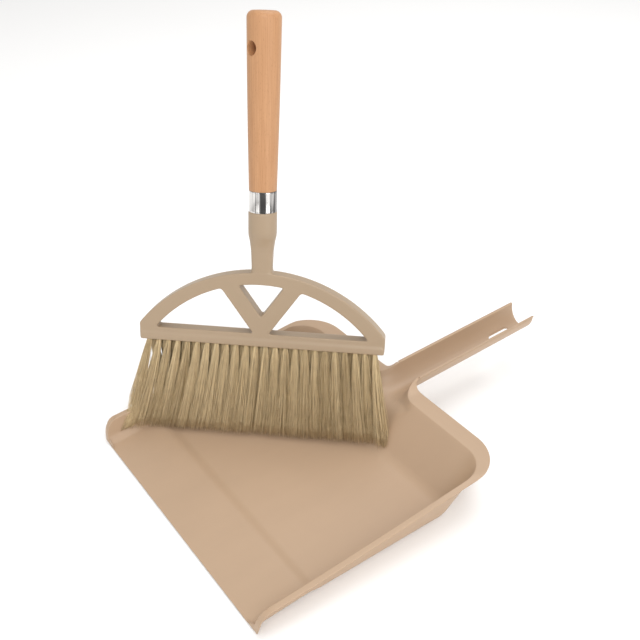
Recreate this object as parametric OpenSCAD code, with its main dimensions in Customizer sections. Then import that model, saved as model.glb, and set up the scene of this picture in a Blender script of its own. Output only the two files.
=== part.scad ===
// Dust pan with a half-round handle, and the brush that is stored standing in it.
// The origin is the middle of the pan's flat underside, +Y runs to the pan's
// handle and +Z is up. The brush leans back across the pan with its bristle tips
// just off the floor, held in by the left side wall and the rear wall.

/* [Pan] */
// Width over the foot of the side walls
pan_w = 213; // [175:1:260]
// Depth from the lip to the foot of the rear wall
pan_d = 164; // [135:1:200]
// Height of the rim at the rear
pan_h = 35; // [29:0.5:45]
// Height of the side walls at the lip
front_h = 18; // [12:0.5:24]
// Thickness of the walls and of the pan's handle
wall = 2; // [1.6:0.1:2.6]
// Thickness of the floor
floor_t = 2.2; // [1.6:0.1:3]
// Thickness of the lip's edge
lip_t = 0.8; // [0.5:0.1:1.4]
// How far each side wall leans out by the rim
side_lean = 6.5; // [3:0.5:10]
// How far the rear wall leans back by the rim
rear_lean = 32; // [20:1:40]
// Radius of the rear corners at the foot
foot_r = 14; // [8:1:20]
// Radius of the rear corners at the rim's outer edge
rim_r = 31; // [24:1:40]
// How far the rim stands out past the side walls
rim_side = 2.5; // [1.5:0.1:4]
// How far the rim stands out behind the rear wall
rim_rear = 12; // [8:0.5:18]
// Length of the ramp from the lip to its crest
ramp_l = 41; // [30:1:50]
// How far the ramp's crest stands above the floor
ramp_h = 2; // [1:0.1:3]
// Length of the rounded front corner of each side wall
nose_l = 9; // [5:0.5:14]
// Distance from the lip to the origin
lip_to_origin = 100; // [90:1:110]

/* [Pan handle] */
// Outer width of the handle
grip_w = 26.6; // [22:0.2:34]
// Length of the handle behind the rim
grip_l = 133; // [105:1:165]
// Height of the handle's edges above the rim where they meet it
grip_up = 6; // [4:0.5:8]
// Straight height of the handle's sides above its round bottom
grip_deep = 4; // [1:0.5:7]
// Slope of the handle, in degrees
grip_slope = 3; // [0:0.5:6]
// Width of the hanging slot
slot_w = 8; // [6:0.5:10]
// Length of the hanging slot
slot_l = 24; // [18:1:32]
// Distance from the slot to the handle's end
slot_end = 12; // [9:1:18]

/* [Brush place] */
// Turn of the brush about the vertical, in degrees
brush_turn = 47.2; // [44:0.2:50]
// Lean of the brush back from upright, in degrees
brush_lean = 14.6; // [10:0.2:20]
// Distance of the bar's middle from the foot of the left wall
brush_from_left = 44; // [40:0.5:50]
// Distance of the bar's middle from the lip
brush_from_lip = 117.5; // [112:0.5:122]
// Height of the bristle tips above the ramp's crest
tip_gap = 1.6; // [1.2:0.1:3]

/* [Brush head] */
// Length of the bar
bar_l = 188; // [155:1:226]
// Height of the bar
bar_h = 10; // [9:0.5:12]
// Thickness of the bar at its underside
bar_t = 13; // [12:0.5:16]
// Thickness of the bow, the ribs and the top of the bar
frame_t = 11; // [9:0.5:12]
// Height of the bow's top above the bar's underside
bow_h = 58; // [48:0.5:70]
// Height of the head's straight ends
end_h = 12.8; // [11:0.2:15]
// Width of the bow's band at its top
bow_band = 9.2; // [7:0.2:12]
// Distance from the bar's end to the open space under the bow
window_end = 12.5; // [10:0.5:16]
// Width of each rib
rib_w = 12.5; // [9:0.5:15]
// Lean of each rib from upright, in degrees
rib_lean = 35.3; // [28:0.1:40]
// Height at which the middle lines of the ribs cross
rib_cross = 12.5; // [10:0.5:15]

/* [Neck, ferrule and handle] */
// Diameter of the neck
neck_d = 21; // [18:0.5:26]
// Width of the neck where it meets the bow
neck_foot_w = 16.6; // [14:0.2:20]
// Length of the neck from the bow to the ferrule
neck_l = 46; // [38:0.5:56]
// Length of the neck's round part
neck_round = 16; // [10:1:22]
// Length of the ferrule
ferrule_l = 15.4; // [12:0.2:20]
// Thickness of the ferrule's wall
ferrule_t = 0.8; // [0.5:0.1:1.2]
// How far the ferrule is narrower than the neck, in diameter
ferrule_step = 0.6; // [0.2:0.1:1.2]
// Diameter of the tenon inside the handle
tenon_d = 12; // [10:0.5:13]
// Length of the tenon inside the handle
tenon_l = 28; // [22:1:36]
// Length of the wooden handle
handle_l = 122.5; // [100:0.5:150]
// Diameter of the handle at its far end
handle_d = 24; // [21:0.5:30]
// How far the handle's foot is narrower than the ferrule, in diameter
handle_step = 0.2; // [0:0.1:1]
// Radius of the handle's rounded far end
handle_end_r = 5; // [3:0.5:7]
// Diameter of the hanging hole
hang_d = 9; // [7:0.5:10]
// Distance of the hanging hole from the handle's far end
hang_from_end = 24.5; // [18:0.5:32]
// Turn of the hanging hole from the brush's face, in degrees
hang_turn = 40; // [0:5:90]

/* [Bristles] */
// Number of tufts in the front row
tufts_in_row = 24; // [16:1:24]
// Diameter of a tuft's hole
hole_d = 3.4; // [2.8:0.1:3.6]
// Thickness left above a tuft's hole
hole_roof = 2; // [1.5:0.1:3]
// Distance between rows at the bar
row_gap = 3.6; // [3.6:0.1:4]
// Distance from the bar's end to its first tuft
end_margin = 7; // [6:0.5:10]
// Length of the bristles below the bar
bristle_l = 70; // [60:1:84]
// Radius of a tuft's tip
tip_r = 2.5; // [2:0.1:2.8]
// How far the front row's tips stand forward of the bar's middle
front_splay = 10; // [8:0.5:14]
// Distance between rows at the tips
tip_row_gap = 7; // [6:0.5:8]
// How far the front row fans out past the bar's left end
fan_left = 11; // [6:1:13]
// How far the front row fans out past the bar's right end
fan_right = 3; // [0:1:6]
// How far forward the walls may push the front row's tips
push_max = 18; // [12:1:22]
// Thickness of an anchor wire
anchor_t = 0.5; // [0.3:0.1:0.7]
// Height of an anchor wire
anchor_h = 1.5; // [1:0.1:2]

/* [Hidden] */
// Clearances: a snug fit, and between the bristles and the pan
snug = 0.05;
wall_gap = 1;
// Overlap that lets one shape run cleanly into or through another
over = 1;
thin = 0.01;
hull_fn = 32;
round_fn = 64;

// Pan
rim_t = wall;
foot_round = 3;
crest_run = 11;
rim_power = 1.3;
half_w = pan_w / 2;
rim_y = pan_d + rear_lean + rim_rear;
rim_full_y = rim_y - rim_r;
grip_r = grip_w / 2;
grip_in_r = grip_r - wall;

// Brush place: the bar's middle, and its axes along the bar and out of its face
tip_z = floor_t + ramp_h + tip_gap;
bar_x = brush_from_left - half_w;
bar_z = tip_z + bristle_l * cos(brush_lean) - front_splay * sin(brush_lean);
drop = bar_z - tip_z;

// Brush head
bow_rise = bow_h - end_h;
bow_r = (pow(bar_l / 2, 2) + pow(bow_rise, 2)) / (2 * bow_rise);
bow_in_h = bow_h - bow_band;
bow_in_rise = bow_in_h - bar_h;
bow_in_half = bar_l / 2 - window_end;
bow_in_r = (pow(bow_in_half, 2) + pow(bow_in_rise, 2)) / (2 * bow_in_rise);
neck_top = bow_h + neck_l;
ferrule_d = neck_d - ferrule_step;
ferrule_top = neck_top + ferrule_l;
spigot_d = ferrule_d - 2 * ferrule_t - 2 * snug;
handle_foot_d = ferrule_d - handle_step;
handle_top = ferrule_top + handle_l;
hang_z = handle_top - hang_from_end;

// Bristles: a tuft spreads a little where it bends, just below its hole
rows = 3;
hole_depth = bar_h - hole_roof;
tuft_r = hole_d / 2 - snug;
root_l = hole_depth - snug;
bend_z = -tuft_r;
spread_r = 1.25 * tuft_r;
root_end = 1.7 * bend_z;
first_u = -bar_l / 2 + end_margin;
pitch = (bar_l - 2 * end_margin) / (tufts_in_row - 1);
tip_room = wall_gap + tip_r;
row_names = ["front", "middle", "rear"];

TUFTS = [for (i = [1:tufts_in_row]) str("tufts_", i < 10 ? "0" : "", i)];
ANCHORS = [for (name = row_names) str("anchor_wires_", name)];

// ---------------------------------------------------------------- pan

// Height of the rim's top edge at a depth y from the lip: it rounds up from the
// lip over the nose, then climbs to the rear
function rim_climb(y) = front_h + (pan_h - front_h) * pow(min(y / rim_full_y, 1), rim_power);
function rim_z(y) = rim_climb(y) * sqrt(1 - pow(max(1 - y / nose_l, 0), 2));

// Outline of the pan at a height: flared sides, rounded rear corners
module outline(z, side, rear, r, front) {
    half = half_w + side_lean * z / pan_h + side;
    back = pan_d + rear_lean * z / pan_h + rear;
    translate([-half, front]) square([2 * half, back - r - front]);
    translate([-half + r, front]) square([2 * (half - r), back - front]);
    for (s = [-1, 1]) translate([s * (half - r), back - r]) circle(r, $fn = hull_fn);
}

module outline_slab(z, side, rear, r, front) {
    translate([0, 0, z]) linear_extrude(thin) outline(z, side, rear, r, front);
}

// Corner radius at a height, from the foot's to the rim's
function corner_r(z, top_r) = foot_r + (top_r - foot_r) * z / pan_h;

// The pan's outer form up to the rim, rounded under at the foot
module pan_outside() {
    wall_r = rim_r - rim_rear / 2;
    hull() {
        outline_slab(0, -foot_round, -foot_round, foot_r, 0);
        outline_slab(foot_round / 3, -foot_round / 3, -foot_round / 3, foot_r, 0);
        outline_slab(foot_round, 0, 0, corner_r(foot_round, wall_r), 0);
        outline_slab(pan_h, 0, 0, wall_r, 0);
    }
}

// The rim's outer form
module rim_outside() {
    hull() {
        outline_slab(0, rim_side, rim_rear, rim_r, 0);
        outline_slab(pan_h, rim_side, rim_rear, rim_r, 0);
    }
}

// The space inside the walls, open at the front and above
module pan_inside() {
    low = -over;
    high = 2 * pan_h;
    wall_r = rim_r - rim_rear / 2 - wall;
    hull() {
        outline_slab(low, -wall, -wall, corner_r(low, wall_r), -over);
        outline_slab(high, -wall, -wall, corner_r(high, wall_r), -over);
    }
}

// A shape drawn as [depth, height], running right across the pan
module across() {
    width = 2 * (half_w + side_lean + rim_side + over);
    rotate([90, 0, 90]) linear_extrude(width, center = true) children();
}

nose_steps = 8;
rim_steps = 20;
nose_line = [for (i = [0:nose_steps - 1])
    let (y = nose_l * (1 - cos(90 * i / nose_steps))) [y, rim_z(y)]];
rim_line = concat(nose_line, [for (i = [0:rim_steps])
    let (y = nose_l + (rim_full_y - nose_l) * i / rim_steps) [y, rim_z(y)]]);
rim_back = [rim_y + over, pan_h];

module below_rim() {
    polygon(concat(rim_line, [rim_back, [rim_y + over, -over], [0, -over]]));
}

// The rim's thickness is measured straight back round the nose and down behind it
module rim_band() {
    bottom = concat([[rim_y + over, pan_h - rim_t]],
        [for (i = [len(rim_line) - 1:-1:nose_steps]) rim_line[i] - [0, rim_t]],
        [for (i = [nose_steps - 1:-1:0]) rim_line[i] * (1 - rim_t / front_h) + [rim_t, 0]]);
    polygon(concat(rim_line, [rim_back], bottom));
}

// Floor: a ramp up from the lip to a soft crest, then flat to the rear wall
module floor_shape() {
    top = floor_t + ramp_h;
    crest_n = 8;
    crest = [for (i = [0:crest_n])
        [ramp_l + crest_run * i / crest_n, floor_t + ramp_h * (1 + cos(180 * i / crest_n)) / 2]];
    polygon(concat([[0, 0], [0, lip_t]], crest,
        [[pan_d + rear_lean / 2, floor_t], [pan_d + rear_lean / 2, 0],
        [ramp_l + crest_run, 0], [ramp_l, top - floor_t]]));
}

module floor_plate() {
    intersection() {
        pan_outside();
        across() floor_shape();
    }
}

// Frame of the handle: the axis of its round bottom starts over the rim's rear edge
module at_grip() {
    translate([0, rim_y, pan_h + grip_up - grip_deep]) rotate([grip_slope, 0, 0]) children();
}

module along_grip(start, end, r) {
    translate([0, start, 0]) rotate([-90, 0, 0]) cylinder(h = end - start, r = r, $fn = round_fn);
}

grip_start = -(rim_rear + rear_lean / 3);

module grip_half_tube() {
    at_grip() {
        difference() {
            along_grip(grip_start, grip_l, grip_r);
            translate([-grip_w, grip_start - over, 0])
                cube([2 * grip_w, grip_l - grip_start + 2 * over, grip_w]);
        }
        translate([-grip_r, grip_start, -snug])
            cube([2 * grip_r, grip_l - grip_start, grip_deep + snug]);
    }
}

// The channel inside the handle, which also opens the rim and the rear wall
module grip_channel() {
    at_grip() {
        along_grip(grip_start - over, grip_l + over, grip_in_r);
        translate([-grip_in_r, grip_start - over, 0])
            cube([2 * grip_in_r, grip_l - grip_start + 2 * over, grip_w]);
    }
}

module hanging_slot() {
    far = grip_l - slot_end - slot_w / 2;
    near = far - slot_l + slot_w;
    at_grip() translate([0, 0, -grip_w]) {
        for (y = [near, far]) translate([0, y, 0]) cylinder(h = grip_w, d = slot_w, $fn = round_fn);
        translate([-slot_w / 2, near, 0]) cube([slot_w, far - near, grip_w]);
    }
}

module pan() {
    color("tan") translate([0, -lip_to_origin, 0]) {
        difference() {
            union() {
                intersection() {
                    pan_outside();
                    across() below_rim();
                }
                intersection() {
                    rim_outside();
                    across() rim_band();
                }
                grip_half_tube();
            }
            pan_inside();
            grip_channel();
            hanging_slot();
        }
        floor_plate();
    }
}

// ---------------------------------------------------------------- brush head

// The brush's own frame: X along the bar, -Y out of its face, Z up its handle
module at_brush() {
    translate([bar_x, brush_from_lip - lip_to_origin, bar_z])
        rotate([-brush_lean, 0, brush_turn]) children();
}

// A shape drawn on the brush's face, given a thickness
module face_plate(t) {
    rotate([90, 0, 0]) linear_extrude(t, center = true) children();
}

module bow_outside() {
    intersection() {
        translate([-bar_l / 2, 0]) square([bar_l, bow_h]);
        translate([0, bow_h - bow_r]) circle(bow_r, $fn = 2 * round_fn);
    }
}

module bow_inside() {
    intersection() {
        translate([-bar_l / 2, bar_h]) square([bar_l, bow_h]);
        translate([0, bow_in_h - bow_in_r]) circle(bow_in_r, $fn = 2 * round_fn);
    }
}

module ribs() {
    for (s = [-1, 1]) translate([0, rib_cross]) rotate(-s * rib_lean)
        translate([-rib_w / 2, -rib_cross]) square([rib_w, 2 * bow_h]);
}

module frame_outline() {
    difference() {
        bow_outside();
        bow_inside();
    }
    intersection() {
        bow_outside();
        translate([-bar_l / 2, bar_h / 2]) square([bar_l, bow_h]);
        ribs();
    }
}

// The bar's section: it thickens towards the tufts
module bar_section() {
    flare_z = bar_h * 0.7;
    low_z = bar_h * 0.4;
    polygon([[-bar_t / 2, 0], [bar_t / 2, 0], [bar_t / 2, low_z], [frame_t / 2, flare_z],
        [frame_t / 2, bar_h - over], [-frame_t / 2, bar_h - over], [-frame_t / 2, flare_z],
        [-bar_t / 2, low_z]]);
}

module bar() {
    rotate([90, 0, 90]) linear_extrude(bar_l, center = true) bar_section();
}

// Neck: flat where it grows out of the bow, round where it meets the ferrule
module neck() {
    translate([0, 0, neck_top - neck_round]) cylinder(h = neck_round, d = neck_d, $fn = round_fn);
    hull() {
        translate([0, 0, neck_top - neck_round]) cylinder(h = thin, d = neck_d, $fn = hull_fn);
        translate([-neck_foot_w / 2, -frame_t / 2, bow_in_h + bow_band / 2])
            cube([neck_foot_w, frame_t, bow_band / 2 + neck_l / 4]);
    }
}

// Spigot inside the ferrule, and the tenon that the handle is fixed on
module spigot() {
    translate([0, 0, neck_top - over])
        cylinder(h = ferrule_l + over, d = spigot_d, $fn = round_fn);
    translate([0, 0, ferrule_top - over])
        cylinder(h = tenon_l + over, d = tenon_d, $fn = round_fn);
}

module brush_head() {
    color("burlywood") at_brush() difference() {
        union() {
            face_plate(frame_t) frame_outline();
            bar();
            neck();
            spigot();
        }
        for (row = [0:rows - 1], i = [1:row_count(row)])
            translate([root_u(row, i), root_y(row), -over])
                cylinder(h = hole_depth + over, d = hole_d, $fn = 24);
    }
}

// ---------------------------------------------------------------- ferrule and handle

module ferrule() {
    color("silver") at_brush() translate([0, 0, neck_top]) difference() {
        cylinder(h = ferrule_l, d = ferrule_d, $fn = round_fn);
        translate([0, 0, -over])
            cylinder(h = ferrule_l + 2 * over, d = ferrule_d - 2 * ferrule_t, $fn = round_fn);
    }
}

// Half of the handle's section, with a rounded far end
module handle_section() {
    arc_n = 12;
    top_r = handle_d / 2;
    arc = [for (i = [0:arc_n]) let (a = 90 * i / arc_n)
        [top_r - handle_end_r * (1 - cos(a)), handle_l - handle_end_r * (1 - sin(a))]];
    polygon(concat([[0, 0], [handle_foot_d / 2, 0]], arc, [[0, handle_l]]));
}

module wood_handle() {
    color("peru") at_brush() difference() {
        translate([0, 0, ferrule_top]) rotate_extrude($fn = round_fn) handle_section();
        translate([0, 0, ferrule_top - over])
            cylinder(h = tenon_l + over + snug, d = tenon_d + 2 * snug, $fn = round_fn);
        translate([0, 0, hang_z]) rotate([90, 0, -hang_turn])
            cylinder(h = 2 * handle_d, d = hang_d, center = true, $fn = round_fn);
    }
}

// ---------------------------------------------------------------- bristles

// The middle row stands half a step aside and has one tuft fewer
function staggered(row) = row % 2;
function row_count(row) = tufts_in_row - staggered(row);
function root_u(row, i) = first_u + pitch * (i - 1 + staggered(row) / 2);
function root_y(row) = row_gap * (row - (rows - 1) / 2);

// How far forward of the bar's middle a row's tips stand when nothing pushes
// them, first square to the face and then along the ground
function splay(row) = front_splay - tip_row_gap * row;
function free_reach(row) = splay(row) / cos(brush_lean) + drop * tan(brush_lean);

bar_y = brush_from_lip - lip_to_origin;

// Where a row's tips must stop beside the left wall: clear of its foot, and far
// enough in that the row's outermost tuft, coming down from outside the pan,
// passes clear of the wall's rim
function left_stop(row) =
    let (root = brush_point(root_u(row, 1), root_y(row), 0),
        edge_z = rim_climb((root[1] + bar_y) / 2 + lip_to_origin),
        share = (edge_z - tip_z) / (root[2] - tip_z),
        edge_x = -half_w + wall - side_lean * edge_z / pan_h + tip_room)
    max(-half_w + wall + tip_room, (edge_x - root[0] * share) / (1 - share));

// Where the tips must stop in front of the rear wall
rear_stop = pan_d - wall + rear_lean * tip_z / pan_h - tip_room - lip_to_origin;

// The front row fans out as far as its tips can be pushed forward, and the walls
// hold in the rows behind it
function full_reach(row) = free_reach(row) + (row == 0 ? push_max : 0);
function tip_left(row) = max(
    -bar_l / 2 - fan_left,
    (left_stop(row) - bar_x - full_reach(row) * sin(brush_turn)) / cos(brush_turn));
function tip_right(row) = min(
    bar_l / 2 + fan_right,
    (rear_stop - bar_y + full_reach(row) * cos(brush_turn)) / sin(brush_turn));
function tip_u(row, i) =
    tip_left(row) + (tip_right(row) - tip_left(row)) * (i - 1) / (row_count(row) - 1);

// The walls push the outer tufts of the front row forward
function reach(row, u) = max(
    free_reach(row),
    (left_stop(row) - bar_x - u * cos(brush_turn)) / sin(brush_turn),
    (bar_y + u * sin(brush_turn) - rear_stop) / cos(brush_turn));

function tip_at(row, i) =
    let (u = tip_u(row, i), s = reach(row, u))
    [bar_x + u * cos(brush_turn) + s * sin(brush_turn),
    bar_y + u * sin(brush_turn) - s * cos(brush_turn),
    tip_z];

// A point of the brush's own frame, in the part's frame
function brush_point(u, y, z) =
    let (flat = y * cos(brush_lean) + z * sin(brush_lean))
    [bar_x + u * cos(brush_turn) - flat * sin(brush_turn),
    bar_y + u * sin(brush_turn) + flat * cos(brush_turn),
    bar_z - y * sin(brush_lean) + z * cos(brush_lean)];

module cone_between(from, to, r1, r2) {
    d = to - from;
    translate(from) rotate([0, acos(d[2] / norm(d)), atan2(d[1], d[0])])
        cylinder(h = norm(d), r1 = r1, r2 = r2, $fn = 24);
}

// One tuft: a straight root in its hole, folded over its anchor, then a flare
module tuft(row, i) {
    at_brush() translate([root_u(row, i), root_y(row), 0]) difference() {
        translate([0, 0, root_end]) cylinder(h = root_l - root_end, r = tuft_r, $fn = 24);
        translate([-hole_d, -anchor_t / 2 - snug, root_l - anchor_h - snug])
            cube([2 * hole_d, anchor_t + 2 * snug, anchor_h + over]);
    }
    cone_between(brush_point(root_u(row, i), root_y(row), bend_z), tip_at(row, i),
        spread_r, tip_r);
}

module tuft_column(i) {
    color("darkkhaki") for (row = [0:rows - 1]) if (i <= row_count(row)) tuft(row, i);
}

// Flat wires driven into the holes to hold the folded tufts
module anchor_wires(row) {
    wire_l = sqrt(pow(hole_d, 2) - pow(anchor_t, 2)) - snug;
    color("silver") at_brush() for (i = [1:row_count(row)])
        translate([root_u(row, i) - wire_l / 2, root_y(row) - anchor_t / 2, root_l - anchor_h])
            cube([wire_l, anchor_t, anchor_h]);
}

// ---------------------------------------------------------------- output

pan();
brush_head();
ferrule();
wood_handle();
for (i = [1:tufts_in_row]) tuft_column(i);
for (row = [0:rows - 1]) anchor_wires(row);
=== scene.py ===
import math
import random

import bpy
import numpy as np
from bpy.props import FloatProperty, FloatVectorProperty, IntProperty, PointerProperty
from mathutils import Matrix, Vector


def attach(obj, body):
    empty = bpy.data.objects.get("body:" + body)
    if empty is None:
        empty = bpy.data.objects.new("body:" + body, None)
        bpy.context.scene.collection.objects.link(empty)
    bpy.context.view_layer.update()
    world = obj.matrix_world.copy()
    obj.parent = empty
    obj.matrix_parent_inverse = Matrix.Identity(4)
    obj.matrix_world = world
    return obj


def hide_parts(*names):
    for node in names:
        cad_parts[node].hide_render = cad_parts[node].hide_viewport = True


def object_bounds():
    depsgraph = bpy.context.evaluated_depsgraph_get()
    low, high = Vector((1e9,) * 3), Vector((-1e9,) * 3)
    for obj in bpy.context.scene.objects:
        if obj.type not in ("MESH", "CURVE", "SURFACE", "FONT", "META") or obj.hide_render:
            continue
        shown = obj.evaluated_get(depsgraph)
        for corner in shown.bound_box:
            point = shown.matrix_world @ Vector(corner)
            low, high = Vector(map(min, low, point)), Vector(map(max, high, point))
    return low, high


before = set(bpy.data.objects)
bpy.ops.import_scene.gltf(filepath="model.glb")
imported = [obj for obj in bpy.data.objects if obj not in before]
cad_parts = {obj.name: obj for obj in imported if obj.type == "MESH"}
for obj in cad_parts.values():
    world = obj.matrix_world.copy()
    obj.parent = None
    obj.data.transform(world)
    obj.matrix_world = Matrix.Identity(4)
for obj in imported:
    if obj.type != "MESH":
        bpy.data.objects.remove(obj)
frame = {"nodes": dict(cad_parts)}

bl_info = {
    "name": "Dust Pan and Brush",
    "version": (1, 0, 0),
    "blender": (4, 5, 0),
    "location": "3D View > Sidebar > Dust Pan",
    "description": "Detailed pan, brush head, ferrule, beech handle and bristles",
    "category": "Object",
}

CAD_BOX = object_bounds()


def length(name, default, description):
    return FloatProperty(
        name=name, default=default, description=description, unit="LENGTH", precision=5
    )


def angle(name, degrees, description):
    return FloatProperty(
        name=name,
        default=math.radians(degrees),
        description=description,
        subtype="ANGLE",
    )


def colour(name, default, description):
    return FloatVectorProperty(
        name=name,
        default=default,
        description=description,
        subtype="COLOR",
        size=3,
        min=0,
        max=1,
    )


class PanSizes(bpy.types.PropertyGroup):
    """Sizes of the dust pan, as moulded."""

    width: length("Width", 0.213, "Width over the foot of the side walls")
    depth: length("Depth", 0.164, "From the lip to the foot of the rear wall")
    height: length("Rim height", 0.035, "Height of the rim at the rear")
    front_height: length("Front height", 0.018, "Height of the side walls at the lip")
    wall: length("Wall", 0.002, "Thickness of the walls")
    floor: length("Floor", 0.0022, "Thickness of the floor")
    lip: length("Lip", 0.0008, "Thickness of the lip's edge")
    side_lean: length("Side lean", 0.0065, "How far a side wall leans out")
    rear_lean: length("Rear lean", 0.032, "How far the rear wall leans back")
    foot_radius: length("Foot radius", 0.014, "Rear corner radius at the foot")
    top_radius: length("Top radius", 0.023, "Rear corner radius inside the rim")
    rim_radius: length("Rim radius", 0.031, "Rear corner radius of the rim's edge")
    rim_side: length("Side rim", 0.0025, "Rim beyond the side walls")
    rim_rear: length("Rear rim", 0.012, "Rim behind the rear wall")
    ramp: length("Ramp", 0.041, "Length of the ramp from lip to crest")
    crest: length("Crest", 0.002, "Height of the ramp's crest above the floor")
    crest_run: length("Crest run", 0.011, "Length of the slope behind the crest")
    nose: length("Nose", 0.009, "Rounded front corner of a side wall")
    side_soft: length("Side fillet", 0.007, "Fillet between floor and side wall")
    rear_soft: length("Rear fillet", 0.015, "Fillet between floor and rear wall")
    lip_to_origin: length("Lip offset", 0.1, "From the lip to the origin")
    grip_radius: length("Grip radius", 0.0113, "Inner radius of the pan's handle")
    grip_depth: length("Grip depth", 0.0153, "Depth of the handle's channel")
    grip_length: length("Grip length", 0.133, "Length of the handle behind the rim")
    grip_up: length("Grip rise", 0.006, "Handle's edges above the rim")
    grip_slope: angle("Grip slope", 3, "Slope of the handle")
    mouth: length("Mouth", 0.028, "Half width of the handle's mouth at the rim")
    mouth_run: length("Mouth run", 0.02, "Length of the handle's mouth")
    slot_width: length("Slot width", 0.008, "Width of the hanging slot")
    slot_length: length("Slot length", 0.024, "Length of the hanging slot")
    slot_end: length("Slot end", 0.012, "From the slot to the handle's end")
    edge: length("Edge", 0.0005, "Rounding of the moulded edges")


class BrushSizes(bpy.types.PropertyGroup):
    """Sizes of the brush, in its own frame: along the bar, out of its face, up."""

    turn: angle("Turn", 47.2, "Turn of the brush about the vertical")
    lean: angle("Lean", 14.6, "Lean of the brush back from upright")
    bar_x: length("Bar X", -0.0625, "Middle of the bar's underside, across the pan")
    bar_y: length("Bar Y", 0.0175, "Middle of the bar's underside, along the pan")
    bar_z: length("Bar Z", 0.071019, "Height of the bar's underside")
    bar: length("Bar", 0.188, "Length of the bar")
    bar_height: length("Bar height", 0.01, "Height of the bar")
    bar_thick: length("Bar thickness", 0.013, "Thickness at the underside")
    frame: length("Frame", 0.011, "Thickness of bow and ribs")
    bow: length("Bow", 0.058, "Height of the bow")
    end: length("Ends", 0.0128, "Height of the straight ends")
    band: length("Band", 0.0092, "Width of the bow's band at its top")
    window_end: length("Window end", 0.0125, "From the bar's end to the window")
    rib: length("Rib", 0.0125, "Width of a rib")
    rib_lean: angle("Rib lean", 35.3, "Lean of a rib from upright")
    rib_cross: length("Rib crossing", 0.0125, "Height where the ribs' lines cross")
    neck: length("Neck", 0.046, "Length of the neck")
    neck_radius: length("Neck radius", 0.0105, "Radius of the neck's round part")
    foot: length("Neck foot", 0.0078, "Half width of the neck at the bow")
    ferrule: length("Ferrule", 0.0154, "Length of the ferrule")
    ferrule_radius: length("Ferrule radius", 0.0102, "Outer radius of the ferrule")
    ferrule_wall: length("Ferrule wall", 0.0008, "Thickness of the ferrule")
    handle: length("Handle", 0.1225, "Length of the wooden handle")
    handle_radius: length("Handle radius", 0.012, "Radius at the far end")
    handle_foot: length("Handle foot", 0.0101, "Radius at the ferrule")
    handle_end: length("Handle end", 0.005, "Rounding of the far end")
    tenon_radius: length("Tenon radius", 0.006, "Radius of the tenon")
    tenon: length("Tenon", 0.028, "Length of the tenon")
    hang_radius: length("Hanging hole", 0.0045, "Radius of the hanging hole")
    hang_end: length("Hole place", 0.0245, "From the hole to the far end")
    hang_turn: angle("Hole turn", 40, "Turn of the hole from the brush's face")


class BristleSizes(bpy.types.PropertyGroup):
    """Sizes of the bristles."""

    columns: IntProperty(name="Columns", default=24, description="Tufts in a row")
    strands: IntProperty(name="Strands", default=240, description="In one tuft")
    hole_radius: length("Hole radius", 0.0017, "Radius of a tuft's hole")
    hole_depth: length("Hole depth", 0.008, "Depth of a tuft's hole")
    row_gap: length("Row gap", 0.0036, "Between rows at the bar")
    margin: length("End margin", 0.007, "From the bar's end to its first tuft")
    front: length("Front splay", 0.01, "Front row's tips forward of the bar")
    tip_gap: length("Tip row gap", 0.007, "Between rows at the tips")
    tip_radius: length("Tip radius", 0.0025, "Radius of a stored tuft's tip")
    fan_left: length("Fan left", 0.011, "Fan past the bar's left end")
    fan_right: length("Fan right", 0.003, "Fan past the bar's right end")
    push: length("Push", 0.018, "How far the walls push the tips forward")
    spread: length("Spread", 0.0056, "Radius of a loose tuft at its tip")
    thick: length("Strand radius", 0.00012, "Radius of one strand")


class Finishes(bpy.types.PropertyGroup):
    """Colours of the finishes."""

    pan: colour("Pan", (0.45, 0.314, 0.208), "Moulded pan")
    head: colour("Head", (0.375, 0.278, 0.185), "Moulded brush head")
    wood_light: colour("Light grain", (0.57, 0.31, 0.155), "Early wood")
    wood_dark: colour("Dark grain", (0.40, 0.19, 0.082), "Late wood")
    steel: colour("Steel", (0.78, 0.76, 0.74), "Ferrule")
    straw: colour("Straw", (0.86, 0.70, 0.44), "Light strands")
    khaki: colour("Khaki", (0.56, 0.42, 0.23), "Dark strands")
    ground: colour("Ground", (0.98, 0.98, 0.98), "Floor under the set")


GROUPS = {
    "pan_sizes": PanSizes,
    "brush_sizes": BrushSizes,
    "bristle_sizes": BristleSizes,
    "set_finishes": Finishes,
}


# ------------------------------------------------------------------ shared tools


def mix(a, b, t):
    return a + (b - a) * t


def even_steps(a, b, n):
    """n even steps from a, the last of them on b."""
    return [mix(a, b, k / n) for k in range(1, n + 1)]


def ease(t):
    t = min(max(t, 0), 1)
    return t * t * (3 - 2 * t)


def clear_selection():
    if bpy.context.object and bpy.context.object.mode != "OBJECT":
        bpy.ops.object.mode_set(mode="OBJECT")
    bpy.ops.object.select_all(action="DESELECT")


def pick(obj):
    clear_selection()
    obj.select_set(True)
    bpy.context.view_layer.objects.active = obj


def tidy_mesh(obj, gap=1e-6):
    """Merges doubles and turns every face outwards."""
    pick(obj)
    bpy.ops.object.mode_set(mode="EDIT")
    bpy.ops.mesh.select_all(action="SELECT")
    bpy.ops.mesh.remove_doubles(threshold=gap)
    bpy.ops.mesh.normals_make_consistent(inside=False)
    bpy.ops.object.mode_set(mode="OBJECT")


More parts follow.
